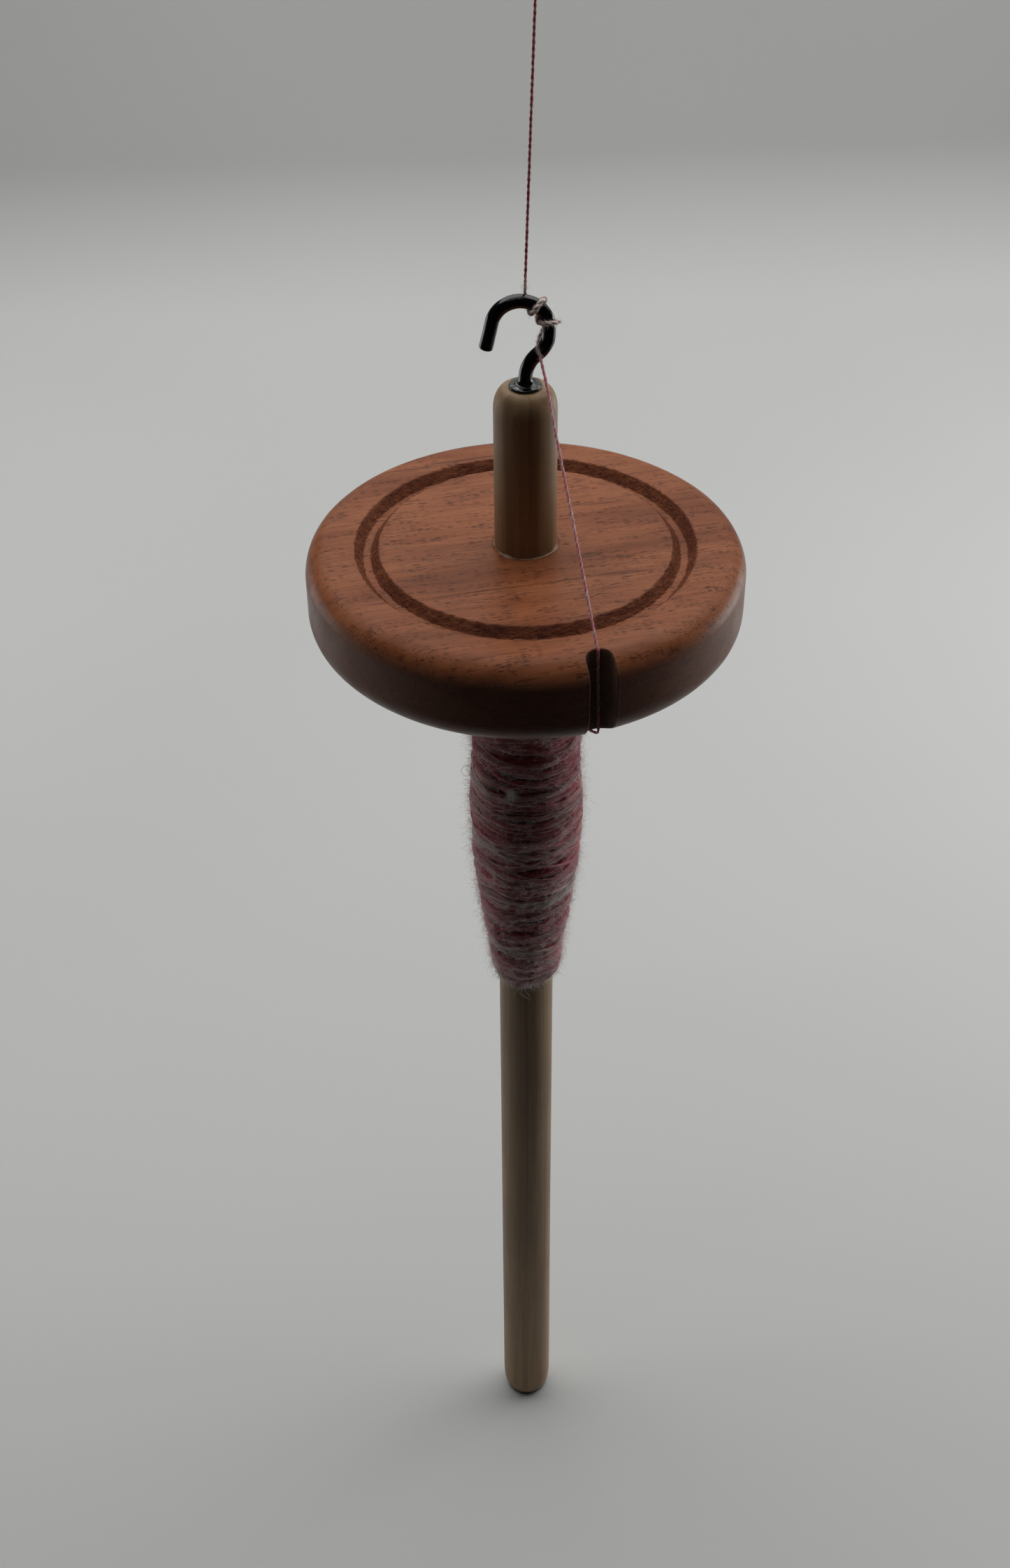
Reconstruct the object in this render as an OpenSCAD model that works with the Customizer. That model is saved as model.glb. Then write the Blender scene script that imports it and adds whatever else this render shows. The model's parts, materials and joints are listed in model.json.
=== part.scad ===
// Top-whorl drop spindle, hanging from its own spun yarn.
// A round shaft carries a turned disc (the whorl) near its top and a screw hook in its end.
// Wound yarn (the cop) sits under the whorl. From it a leader runs up through the whorl's
// notch, is hitched round the hook, and goes on upwards as the spun yarn to a tied loop.
//
// The origin is the point in the loop where the yarn is held. +Z is up.
// Every spindle piece is drawn with z = 0 on the whorl's top face and is placed by hung().

/* [Shaft] */
// Diameter of the dowel shaft
shaft_d = 12.7; // [8:0.1:14]
// Length of shaft standing above the whorl
shaft_above = 35.5; // [20:0.5:60]
// Length of shaft below the whorl's top face
shaft_below = 282.5; // [200:0.5:320]
// How far the top edge is rounded inwards
shaft_top_in = 2.5; // [0.5:0.1:3]
// How far down the top rounding reaches
shaft_top_down = 4.6; // [1:0.1:8]
// How far the tip is rounded inwards
tip_in = 1.3; // [0.5:0.1:2.5]
// How far up the tip rounding reaches
tip_up = 7.5; // [3:0.1:15]

/* [Whorl] */
// Diameter of the whorl
whorl_d = 90.5; // [75:0.5:110]
// Thickness of the whorl
whorl_t = 19.5; // [14:0.1:22]
// Radius of the round-over on the top edge
whorl_top_round = 5.2; // [1:0.1:6]
// Radius of the round-over on the bottom edge
whorl_bottom_round = 6.8; // [1:0.1:8]
// Radius of the ring groove's centre line
groove_centre_r = 32.5; // [20:0.05:36]
// Width of the ring groove at the top face
groove_w = 5; // [2:0.1:6]
// Width of the ring groove's flat floor
groove_floor = 1.7; // [0.5:0.1:4]
// Depth of the ring groove
groove_depth = 2.1; // [0.5:0.1:3]

/* [Yarn notch] */
// Width of the notch in the whorl's rim
notch_w = 5.5; // [4.6:0.1:6]
// Distance from the shaft's axis to the centre of the notch's round end
notch_centre_r = 42.9; // [41:0.1:44]
// Turn of the notch from the front (-Y) towards +X, in degrees
notch_turn = 18.6; // [10:0.1:30]

/* [Hook] */
// Diameter of the hook's wire, paint included
wire_d = 2.76; // [1.6:0.02:3]
// Radius of the loop's centre line
loop_r = 5.5; // [4.8:0.05:6]
// Sideways place of the loop's centre, from the shaft's axis
loop_x = -0.98; // [-1.5:0.01:-0.5]
// Height of the loop's centre over the shaft's end
loop_rise = 12.4; // [11:0.1:14]
// How far the loop is drawn out downwards on the shank's side
loop_stretch = 1.1; // [0:0.1:2]
// Angle at which the loop runs into the bend above the shank
loop_exit = -50; // [-60:1:-40]
// Angle at which the loop ends and the open limb starts
loop_end = 167.2; // [150:0.1:175]
// Length of the straight open limb
limb_l = 5.7; // [3:0.1:7]
// Diameter of the collar on the shaft's end
collar_d = 6.5; // [5:0.1:8]
// Height of the collar
collar_h = 1.1; // [0.6:0.1:2]
// Length of the screw in the shaft
screw_l = 12; // [8:0.5:16]
// Pitch of the screw's thread
screw_pitch = 1.2; // [0.8:0.1:1.5]
// Diameter of the pilot hole and of the screw's core
pilot_d = 1.8; // [1.4:0.1:2]
// Diameter over the screw's thread
thread_d = 2.5; // [2.2:0.1:2.8]

/* [Yarn] */
// Diameter of the yarn
yarn_d = 0.65; // [0.5:0.05:0.7]
// Height of the held point over the whorl's top face
hang = 126; // [120:1:160]
// How far the spun yarn leans towards +X between the hook and the held point
lean = 2; // [0:0.1:3]
// Radius of the tied loop's centre line
tied_loop_r = 5; // [3:0.1:7]
// Diameter of the knot under the tied loop
knot_d = 2.4; // [1.6:0.1:3]

/* [Cop] */
// Depth below the whorl's top face at which the wound yarn ends
cop_end = 119.5; // [110:0.5:125]
// Largest radius of the wound yarn
cop_r = 12.5; // [12:0.1:14]

/* [Hidden] */
$fn = 64;

shaft_r = shaft_d / 2;
whorl_r = whorl_d / 2;
wire_r = wire_d / 2;
collar_r = collar_d / 2;
yarn_r = yarn_d / 2;
thread_r = thread_d / 2;
pilot_r = pilot_d / 2;

// segments in each rounded stretch of a turned outline
arc_steps = 12;

// hook's wire: up the shank, round the bend, then round the loop and down the open limb
wire_sides = 20;
bend_steps = 6;
loop_steps = 30;
loop_z = shaft_above + loop_rise;
stretch_over = 12;
bend_start = [wire_point(loop_exit)[0], wire_point(loop_exit)[2]];
bend_r = bend_start[0] / (1 - cos(loop_exit));
bend_centre = bend_start + bend_r * [cos(loop_exit), sin(loop_exit)];
bend_points = [
    for (i = [0 : bend_steps - 1])
        let (a = 180 + loop_exit * i / bend_steps)
            [bend_centre[0] + bend_r * cos(a), 0, bend_centre[1] + bend_r * sin(a)]
];
loop_points = [
    for (i = [0 : loop_steps])
        wire_point(loop_exit + (loop_end - loop_exit) * i / loop_steps)
];
limb_way = [-sin(loop_end), 0, cos(loop_end)];
limb_tip = loop_points[loop_steps] + limb_l * limb_way;
wire_route = concat([[0, 0, shaft_above]], bend_points, loop_points, [limb_tip]);

// screw below the shaft's end: gimlet point, thread ridges as closed rings
point_l = 2.4;
ridge_count = floor((screw_l - point_l) / screw_pitch);
pilot_extra = 0.8;
screw_lap = 0.5;

// glue that squeezed out round the shaft
bead_w = 0.7;
bead_h = 0.55;

// wound yarn: [depth below the whorl's top face, share of the largest radius]
cop_outline = [
    [whorl_t, 0.88], [26, 0.90], [34, 0.92], [42, 0.94], [50, 0.955], [58, 0.98], [66, 1],
    [74, 0.995], [80, 0.97], [87, 0.93], [95, 0.86], [101, 0.795], [106, 0.745], [109, 0.705],
    [114, 0.67], [117.5, 0.645], [cop_end, 0.56]
];

// height at which the hitch ends on the shaft's axis, and the gap up to the spun yarn
hitch_top = 57;
swivel_gap = 0.3;

// leader: laid round the cop, out under the whorl, up the notch and straight to the hook
leader_route = [
    [-9.0, 5.2, -25.6], [-11.0, 1.0, -25.0], [-11.0, -3.0, -24.6], [-9.3, -6.8, -24.2],
    [-1.8, -17.3, -22.8], [5.7, -27.9, -21.4], [11.2, -35.6, -20.4],
    [13.0, -37.8, -20.1], [13.6, -38.4, -19.7], [13.7, -38.5, -18.9], [13.6, -38.5, -14],
    [13.4, -38.45, -7], [13.3, -38.45, -0.9], [13.3, -38.4, -0.2], [13.1, -38.05, 0.4],
    [12.5, -36.0, 2.9], [10.7, -29.7, 10.5], [8.9, -23.4, 18.1], [7.1, -17.1, 25.7],
    [5.3, -10.8, 33.3], [3.9, -5.4, 39.2]
];

// hitch: [turn round the wire, place along the loop], in degrees.
// A turn of 0 is the loop's outside, 90 its front, 180 its inside and 270 its back.
hitch_climb = [
    [95, -48], [150, -36], [190, -15], [240, 0], [330, 7], [360, 10], [450, 18], [540, 26],
    [630, 40], [720, 55], [810, 58], [900, 60], [980, 76]
];
hitch_first = hitch_climb[0][0];
hitch_last = hitch_climb[len(hitch_climb) - 1][0];
hitch_rings = 28;
hitch_r = wire_r + yarn_r + 0.06;
// the last stretch leaves the back of the wire and comes round to the shaft's axis
hitch_rise = [[0, 1.6, 54.6], [0, 0.95, 55.7], [0, 0.25, 56.5], [0, 0, hitch_top]];

yarn_sides = 8;
leader_side = [cos(notch_turn), sin(notch_turn), 0];

// points along an ellipse's arc, from angle a0 to angle a1
function arc(centre, rx, ry, a0, a1) = [
    for (i = [0 : arc_steps])
        let (a = a0 + (a1 - a0) * i / arc_steps)
            centre + [rx * cos(a), ry * sin(a)]
];

// point on the loop's centre line. Below its widest point, on the shank's side, the loop is
// drawn out: the stretch comes in over the first few degrees.
function wire_point(along) = [
    loop_x + loop_r * cos(along), 0,
    loop_z + loop_r * sin(along) - loop_stretch * min(1, max(0, -along / stretch_over))
];
// way out of the wire, for a turn round it
function wire_side(turn, along) =
    [cos(along) * cos(turn), -sin(turn), sin(along) * cos(turn)];
function hitch_turn(i) = hitch_first + (hitch_last - hitch_first) * i / (hitch_rings - 1);
function hitch_along(turn) = lookup(turn, hitch_climb);

hitch_start =
    wire_point(hitch_climb[0][1]) + hitch_r * wire_side(hitch_first, hitch_climb[0][1]);

function unit(v) = v / norm(v);
function direction(route, i) =
    unit(route[min(i + 1, len(route) - 1)] - route[max(i - 1, 0)]);

// ring of points round a route's point i; sides[i] only says where its first point looks
function ring(route, sides, i, radius, count) =
    let (
        t = direction(route, i),
        u = unit(sides[i] - (sides[i] * t) * t),
        v = cross(t, u)
    )
    [
        for (k = [0 : count - 1])
            let (a = 360 * k / count)
                route[i] + radius * (cos(a) * u + sin(a) * v)
    ];

module tube(route, sides, radius, count) {
    last = len(route) - 1;
    points = [for (i = [0 : last]) each ring(route, sides, i, radius, count)];
    walls = [
        for (i = [0 : last - 1], k = [0 : count - 1])
            let (k2 = (k + 1) % count, a = i * count, b = a + count)
                [a + k, b + k, b + k2, a + k2]
    ];
    first_cap = [for (k = [0 : count - 1]) k];
    last_cap = [for (k = [0 : count - 1]) (last + 1) * count - 1 - k];
    polyhedron(points, concat(walls, [first_cap, last_cap]), convexity = 10);
}

module yarn_tube(route, sides) {
    tube(route, sides, yarn_r, yarn_sides);
}

// puts a piece drawn about the whorl where it hangs under the held point
module hung() {
    translate([-lean, 0, -hang]) children();
}

module shaft() {
    top_centre = [shaft_r - shaft_top_in, shaft_above - shaft_top_down];
    tip_centre = [shaft_r - tip_in, tip_up - shaft_below];
    outline = concat(
        [[0, -shaft_below]],
        arc(tip_centre, tip_in, tip_up, -90, 0),
        arc(top_centre, shaft_top_in, shaft_top_down, 0, 90),
        [[0, shaft_above]]
    );
    pilot_end = shaft_above - screw_l - pilot_extra;
    color("BurlyWood")
        hung()
            difference() {
                rotate_extrude() polygon(outline);
                translate([0, 0, pilot_end]) cylinder(r = pilot_r, h = shaft_above);
            }
}

module whorl() {
    top_centre = [whorl_r - whorl_top_round, -whorl_top_round];
    bottom_centre = [whorl_r - whorl_bottom_round, whorl_bottom_round - whorl_t];
    outline = concat(
        [[shaft_r, -whorl_t]],
        arc(bottom_centre, whorl_bottom_round, whorl_bottom_round, -90, 0),
        arc(top_centre, whorl_top_round, whorl_top_round, 0, 90),
        [
            [groove_centre_r + groove_w / 2, 0],
            [groove_centre_r + groove_floor / 2, -groove_depth],
            [groove_centre_r - groove_floor / 2, -groove_depth],
            [groove_centre_r - groove_w / 2, 0]
        ],
        [[shaft_r, 0]]
    );
    color("Sienna")
        hung()
            difference() {
                rotate_extrude() polygon(outline);
                rotate([0, 0, notch_turn - 90])
                    translate([notch_centre_r, 0, -whorl_t - 1])
                        linear_extrude(whorl_t + 2)
                            union() {
                                circle(d = notch_w);
                                translate([0, -notch_w / 2]) square([whorl_r, notch_w]);
                            }
            }
}

module glue_bead() {
    color("Wheat")
        hung()
            rotate_extrude()
                polygon([
                    [shaft_r, 0], [shaft_r + bead_w, 0],
                    [shaft_r + bead_w * 0.4, bead_h * 0.35], [shaft_r, bead_h]
                ]);
}

module hook() {
    ridges = [
        for (i = [0 : ridge_count - 1])
            let (z = shaft_above - (i + 0.5) * screw_pitch)
                each [
                    [pilot_r, z + screw_pitch * 0.3], [thread_r, z + screw_pitch * 0.06],
                    [thread_r, z - screw_pitch * 0.06], [pilot_r, z - screw_pitch * 0.3]
                ]
    ];
    screw = concat(
        [[0, shaft_above + screw_lap], [pilot_r, shaft_above + screw_lap]],
        ridges,
        [[pilot_r, shaft_above - screw_l + point_l], [0, shaft_above - screw_l]]
    );
    color("DimGray")
        hung() {
            rotate_extrude() polygon(screw);
            tube(wire_route, [for (p = wire_route) [0, 1, 0]], wire_r, wire_sides);
        }
}

module hook_collar() {
    color("Black")
        hung()
            translate([0, 0, shaft_above])
                rotate_extrude()
                    polygon([
                        [wire_r, 0], [collar_r, 0], [collar_r, collar_h * 0.55],
                        [collar_r - 0.35, collar_h * 0.9], [collar_r - 0.7, collar_h],
                        [wire_r, collar_h]
                    ]);
}

module yarn_cop() {
    outside = [for (p = cop_outline) [cop_r * p[1], -p[0]]];
    color("RosyBrown")
        hung()
            rotate_extrude()
                polygon(concat([[shaft_r, -whorl_t]], outside, [[shaft_r, -cop_end]]));
}

module leader_yarn() {
    route = concat(leader_route, [hitch_start]);
    color("LightPink")
        hung()
            yarn_tube(route, [for (p = route) leader_side]);
}

module hook_hitch() {
    turns = [for (i = [0 : hitch_rings - 1]) hitch_turn(i)];
    wraps = [
        for (a = turns)
            wire_point(hitch_along(a)) + hitch_r * wire_side(a, hitch_along(a))
    ];
    sides = concat(
        [for (a = turns) wire_side(a, hitch_along(a))],
        [for (p = hitch_rise) [0, 1, 0.5]]
    );
    color("LightPink")
        hung()
            yarn_tube(concat(wraps, hitch_rise), sides);
}

module spun_yarn() {
    start = [-lean, 0, hitch_top + swivel_gap - hang];
    end = [0, 0, yarn_r - 2 * tied_loop_r - knot_d / 2];
    steps = 12;
    route = [for (i = [0 : steps]) start + (end - start) * i / steps];
    color("LightPink")
        yarn_tube(route, [for (p = route) [1, 0, 0]]);
}

module yarn_loop() {
    color("LightPink")
        translate([0, 0, yarn_r - tied_loop_r]) {
            rotate([90, 0, 0])
                rotate_extrude()
                    translate([tied_loop_r, 0])
                        circle(r = yarn_r, $fn = 24);
            translate([0, 0, -tied_loop_r])
                sphere(d = knot_d, $fn = 32);
        }
}

shaft();
whorl();
glue_bead();
hook();
hook_collar();
yarn_cop();
leader_yarn();
hook_hitch();
spun_yarn();
yarn_loop();
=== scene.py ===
"""Looks of the drop spindle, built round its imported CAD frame. Lengths ending in _MM are in
millimetres; the rest, and every Blender object, are in metres."""

import json
import math

import bpy
import numpy as np
from mathutils import Matrix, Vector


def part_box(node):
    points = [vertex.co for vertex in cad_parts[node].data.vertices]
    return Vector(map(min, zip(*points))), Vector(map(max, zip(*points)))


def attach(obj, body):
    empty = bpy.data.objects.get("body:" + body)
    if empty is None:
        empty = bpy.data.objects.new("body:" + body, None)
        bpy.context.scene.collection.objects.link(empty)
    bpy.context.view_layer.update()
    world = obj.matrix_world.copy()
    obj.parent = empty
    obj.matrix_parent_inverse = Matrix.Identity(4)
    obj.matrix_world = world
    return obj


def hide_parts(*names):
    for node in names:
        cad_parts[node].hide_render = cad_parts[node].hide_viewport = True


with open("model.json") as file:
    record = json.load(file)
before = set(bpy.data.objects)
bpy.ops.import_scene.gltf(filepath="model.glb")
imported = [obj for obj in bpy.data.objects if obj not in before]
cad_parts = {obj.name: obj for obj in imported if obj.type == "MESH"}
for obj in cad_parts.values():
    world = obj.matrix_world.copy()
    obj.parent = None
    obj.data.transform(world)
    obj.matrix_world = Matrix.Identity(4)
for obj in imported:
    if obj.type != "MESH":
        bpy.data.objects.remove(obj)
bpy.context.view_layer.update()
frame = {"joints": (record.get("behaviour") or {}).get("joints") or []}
scene = bpy.context.scene

# ---------------------------------------------------------------- sizes taken from the frame
MM = 0.001
AXIS_X = frame["joints"][0]["pos_m"][0]
whorl_low, whorl_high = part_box("whorl")
shaft_low, shaft_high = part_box("shaft")
cop_low, cop_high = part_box("yarn_cop")
TOP_Z = whorl_high.z
WHORL_R_MM = (whorl_high.x - whorl_low.x) / 2 / MM
WHORL_T_MM = (whorl_high.z - whorl_low.z) / MM
SHAFT_R_MM = (shaft_high.x - shaft_low.x) / 2 / MM
SHAFT_TOP_MM = (shaft_high.z - TOP_Z) / MM
SHAFT_TIP_MM = (shaft_low.z - TOP_Z) / MM
COP_TOP_MM = (cop_high.z - TOP_Z) / MM
COP_END_MM = (cop_low.z - TOP_Z) / MM
COP_R_MM = (cop_high.x - cop_low.x) / 2 / MM
HOVER = 0.0004  # the tip hangs just clear of the floor
FLOOR_Z = shaft_low.z - HOVER

# ---------------------------------------------------------------- sizes that the CAD source sets
# how far in and down the shaft's top is rounded, and how far in and up its tip is
TOP_IN_MM, TOP_DOWN_MM = 2.5, 4.6
TIP_IN_MM, TIP_UP_MM = 1.3, 7.5
# the whorl: the radii of its edges, its ring groove and its notch
TOP_ROUND_MM, BOTTOM_ROUND_MM = 5.2, 6.8
GROOVE_R_MM, GROOVE_W_MM, GROOVE_FLOOR_MM, GROOVE_DEPTH_MM = 32.5, 5, 1.7, 2.1
NOTCH_W_MM, NOTCH_R_MM, NOTCH_TURN = 5.5, 42.9, math.radians(18.6)
# the hook: its wire, its loop (drawn out by a stretch at its foot), its open limb and its screw
WIRE_R_MM = 1.38
LOOP_R_MM, LOOP_X_MM, LOOP_RISE_MM = 5.5, -0.98, 12.4
LOOP_STRETCH_MM, STRETCH_OVER = 1.1, math.radians(12)
LOOP_EXIT, LOOP_END, LIMB_MM = math.radians(-50), math.radians(167.2), 5.7
COLLAR_R_MM, COLLAR_H_MM = 3.25, 1.1
SCREW_MM, THREAD_PITCH_MM, PILOT_R_MM, THREAD_R_MM = 12, 1.2, 0.9, 1.25
BORE_SPARE_MM = 0.8  # the bore goes on a little past the screw's point
LOOP_Z_MM = SHAFT_TOP_MM + LOOP_RISE_MM
YARN_D_MM = 0.65
HITCH_TOP_MM = 57
TIED_LOOP_R_MM = 5

# ---------------------------------------------------------------- sizes that are only set here
NOTCH_EASE_MM = 0.28  # the notch's worn edges
BORE_SHARES = (0.75, 0.5, 0.25)  # rows of the whorl's bore, as shares of its height
LAY_MM = 2.5  # one turn of the two plies round each other
WAVE_COUNT = 14  # plane waves in a smooth noise


# ---------------------------------------------------------------- mesh helpers
def placed(points_mm):
    """Points drawn about the whorl (z = 0 on its top face), in the row frame."""
    points = np.asarray(points_mm, float) * MM
    return points + np.array([AXIS_X, 0, TOP_Z])


def add_object(name, data):
    """A new object in the scene."""
    made = bpy.data.objects.new(name, data)
    scene.collection.objects.link(made)
    return made


def make_piece(name, verts, quads, material, replaces=(), attribute=None, body="spindle"):
    """A smooth mesh piece of quads (a repeated last corner makes a triangle)."""
    mesh = bpy.data.meshes.new(name)
    quads = np.asarray(quads, np.int64)
    mesh.vertices.add(len(verts))
    mesh.vertices.foreach_set("co", np.asarray(verts, np.float32).ravel())
    is_tri = quads[:, 2] == quads[:, 3]
    keep = np.ones(quads.shape, bool)
    keep[is_tri, 3] = False
    totals = np.where(is_tri, 3, 4)
    starts = np.concatenate([[0], np.cumsum(totals)[:-1]])
    mesh.loops.add(int(totals.sum()))
    mesh.loops.foreach_set("vertex_index", quads[keep].astype(np.int32))
    mesh.polygons.add(len(quads))
    mesh.polygons.foreach_set("loop_start", starts.astype(np.int32))
    mesh.update(calc_edges=True)
    mesh.validate()
    mesh.shade_smooth()
    for key, values in (attribute or {}).items():
        layer = mesh.attributes.new(key, "FLOAT_VECTOR", "POINT")
        layer.data.foreach_set("vector", np.asarray(values, np.float32).ravel())
    mesh.materials.append(material)
    piece = add_object(name, mesh)
    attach(piece, body)
    if replaces:
        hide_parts(*replaces)
    return piece


def grid_quads(rows, cols, wrap_rows=False, wrap_cols=False):
    """Quads of a grid of points, numbered row by row."""
    r = np.arange(rows if wrap_rows else rows - 1)
    c = np.arange(cols if wrap_cols else cols - 1)
    rr, cc = np.meshgrid(r, c, indexing="ij")
    r2, c2 = (rr + 1) % rows, (cc + 1) % cols
    quads = np.stack([rr * cols + cc, rr * cols + c2, r2 * cols + c2, r2 * cols + cc], -1)
    return quads.reshape(-1, 4)


def fan_quads(ring, hub, flip=False):
    """Triangles, as quads with a repeated corner, from a closed ring of points to a hub."""
    after = np.roll(ring, -1)
    hubs = np.full_like(ring, hub)
    if flip:
        ring, after = after, ring
    return np.stack([ring, after, hubs, hubs], -1)


def join_parts(parts):
    """Joins (verts, quads, attribute) parts into one."""
    verts, quads, values, start = [], [], [], 0
    for v, q, a in parts:
        verts.append(v)
        quads.append(q + start)
        values.append(a)
        start += len(v)
    return np.concatenate(verts), np.concatenate(quads), np.concatenate(values)


def arc(centre, rx, ry, a0, a1, steps):
    """Points along an ellipse's arc, angles in degrees."""
    a = np.radians(np.linspace(a0, a1, steps + 1))
    return np.stack([centre[0] + rx * np.cos(a), centre[1] + ry * np.sin(a)], -1)


def waves(points, size, seed):
    """Smooth noise between about -1 and 1: plane waves about size long, in random ways."""
    wave_rng = np.random.default_rng(seed)
    total = np.zeros(len(points))
    for _ in range(WAVE_COUNT):
        way = wave_rng.normal(size=points.shape[1])
        way *= 2 * math.pi / (size * wave_rng.uniform(0.6, 1.7)) / np.linalg.norm(way)
        total += np.sin(points @ way + wave_rng.uniform(0, 2 * math.pi))
    return total / math.sqrt(WAVE_COUNT)


def capped_quads(rows, cols):
    """Quads of a closed tube of rings, whose two hubs are the points after the last ring's."""
    return np.concatenate([
        grid_quads(rows, cols, wrap_cols=True),
        fan_quads(np.arange(cols), rows * cols, flip=True),
        fan_quads(np.arange((rows - 1) * cols, rows * cols), rows * cols + 1),
    ])


def turned(profile, cols):
    """Points of a (radius, z) profile turned about the axis, row by row."""
    angle = np.linspace(0, 2 * math.pi, cols, endpoint=False)
    r, z = profile[:, :1], profile[:, 1:]
    return np.stack([r * np.cos(angle), r * np.sin(angle), z + 0 * angle], -1).reshape(-1, 3)


def turned_ring(outline, cols):
    """A ring-shaped body of revolution from a closed (radius, z) outline."""
    return turned(outline, cols), grid_quads(len(outline), cols, wrap_rows=True, wrap_cols=True)


def distances(path):
    """Distance along a path up to each of its points."""
    return np.concatenate([[0], np.cumsum(np.linalg.norm(np.diff(path, axis=0), axis=1))])


def resample(points, step):
    """Points spaced evenly along a smooth curve through the given ones."""
    p = np.asarray(points, float)
    p = np.concatenate([[2 * p[0] - p[1]], p, [2 * p[-1] - p[-2]]])
    fine = []
    for i in range(1, len(p) - 2):
        d1 = math.sqrt(np.linalg.norm(p[i] - p[i - 1])) + 1e-9
        d2 = math.sqrt(np.linalg.norm(p[i + 1] - p[i])) + 1e-9
        d3 = math.sqrt(np.linalg.norm(p[i + 2] - p[i + 1])) + 1e-9
        m1 = (d2 / d1 * (p[i] - p[i - 1]) + d1 / d2 * (p[i + 1] - p[i])) / (d1 + d2) * d2
        m2 = (d3 / d2 * (p[i + 1] - p[i]) + d2 / d3 * (p[i + 2] - p[i + 1])) / (d2 + d3) * d2
        t = np.linspace(0, 1, 24, endpoint=False)[:, None]
        h1, h2 = 2 * t**3 - 3 * t**2 + 1, -2 * t**3 + 3 * t**2
        h3, h4 = t**3 - 2 * t**2 + t, t**3 - t**2
        fine.append(h1 * p[i] + h2 * p[i + 1] + h3 * m1 + h4 * m2)
    fine = np.concatenate(fine + [p[-2:-1]])
    length = distances(fine)
    at = np.linspace(0, length[-1], max(3, int(round(length[-1] / step)) + 1))
    return np.stack([np.interp(at, length, fine[:, k]) for k in range(3)], -1), at


def unit(v):
    """Vectors made one long."""
    return v / np.linalg.norm(v, axis=-1, keepdims=True)


def tangents(path):
    """Directions along a path."""
    return unit(np.gradient(path, axis=0))


def carried_sides(path):
    """A side vector for each point of a path, carried along it without twisting."""
    t = tangents(path)
    guess = np.array([1.0, 0, 0]) if abs(t[0][0]) < 0.8 else np.array([0, 1.0, 0])
    sides = [unit(guess - guess @ t[0] * t[0])]
    for i in range(1, len(path)):
        s = sides[-1] - sides[-1] @ t[i] * t[i]
        sides.append(unit(s))
    return np.array(sides)


def tube_points(path, radii, u, v, sides):
    """Rings of points round a path, then its two ends. The radii have a row for each point of
    the path, and u and v are the directions across it."""
    angle = np.linspace(0, 2 * math.pi, sides, endpoint=False)[:, None]
    out = np.cos(angle) * u[:, None] + np.sin(angle) * v[:, None]
    rings = path[:, None] + radii[..., None] * out
    return np.concatenate([rings.reshape(-1, 3), path[:1], path[-1:]])


def tube(path, radii, sides, side=None, dye=0.5, at=None, flat=1.0):
    """A closed tube along a path, thinner by flat along side. Its attribute holds (metres
    along, share of a turn round, dye)."""
    t = tangents(path)
    u = carried_sides(path) if side is None else unit(side - np.sum(side * t, -1)[:, None] * t)
    v = np.cross(t, u)
    n = len(path)
    verts = tube_points(path, np.broadcast_to(radii, (n,))[:, None], flat * u, v, sides)
    if at is None:
        at = distances(path)
    dye = np.broadcast_to(dye, (n,))
    around = np.tile(np.arange(sides) / sides, n)
    values = np.stack([np.repeat(at * MM, sides), around, np.repeat(dye, sides)], -1)
    ends = np.array([[at[0] * MM, 0, dye[0]], [at[-1] * MM, 0, dye[-1]]])
    return verts, capped_quads(n, sides), np.concatenate([values, ends])


def fibres(starts, outs, alongs, lengths, thick, lean, fibre_rng, dye, k=6):
    """Many fine curved fibres at once, each a three-sided tube of k rings that thins to its
    end. They stand off the yarn by up to lean, then curl back."""
    n = len(starts)
    hand = fibre_rng.choice([-1.0, 1.0], (n, 1))
    stand = fibre_rng.uniform(0.1, 1, (n, 1)) * lean
    way = unit(outs * stand + alongs * hand + fibre_rng.normal(size=(n, 3)) * 0.35)
    bend = fibre_rng.normal(size=(n, 3)) * 1.3 - outs * fibre_rng.uniform(0, 1.2, (n, 1))
    step = (np.asarray(lengths) / (k - 1)).reshape(n, 1)
    points = [starts - outs * 0.1]
    for _ in range(k - 1):
        points.append(points[-1] + way * step)
        way = unit(way + bend * step * 0.5)
    path = np.stack(points, 1)
    t = unit(np.gradient(path, axis=1))
    u = unit(np.cross(t, unit(fibre_rng.normal(size=(n, 1, 3)))))
    v = np.cross(t, u)
    radii = np.reshape(thick, (-1, 1)) * (1 - 0.8 * np.linspace(0, 1, k) ** 3)
    angle = np.linspace(0, 2 * math.pi, 3, endpoint=False)
    rings = path[:, :, None] + radii[..., None, None] * (
        np.cos(angle)[:, None] * u[:, :, None] + np.sin(angle)[:, None] * v[:, :, None])
    caps = np.array([[2, 1, 0, 0], [3 * k - 3, 3 * k - 2, 3 * k - 1, 3 * k - 1]])
    one = np.concatenate([grid_quads(k, 3, wrap_cols=True), caps])
    quads = (one[None] + (np.arange(n) * 3 * k)[:, None, None]).reshape(-1, 4)
    along = np.broadcast_to(np.arange(k)[None, :, None] * step[:, :, None] * MM, (n, k, 3))
    around = np.broadcast_to(angle / (2 * math.pi), (n, k, 3))
    tint = np.broadcast_to(np.reshape(dye, (-1, 1, 1)), (n, k, 3))
    values = np.stack([along, around, tint], -1).reshape(-1, 3)
    return rings.reshape(-1, 3), quads, values


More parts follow.
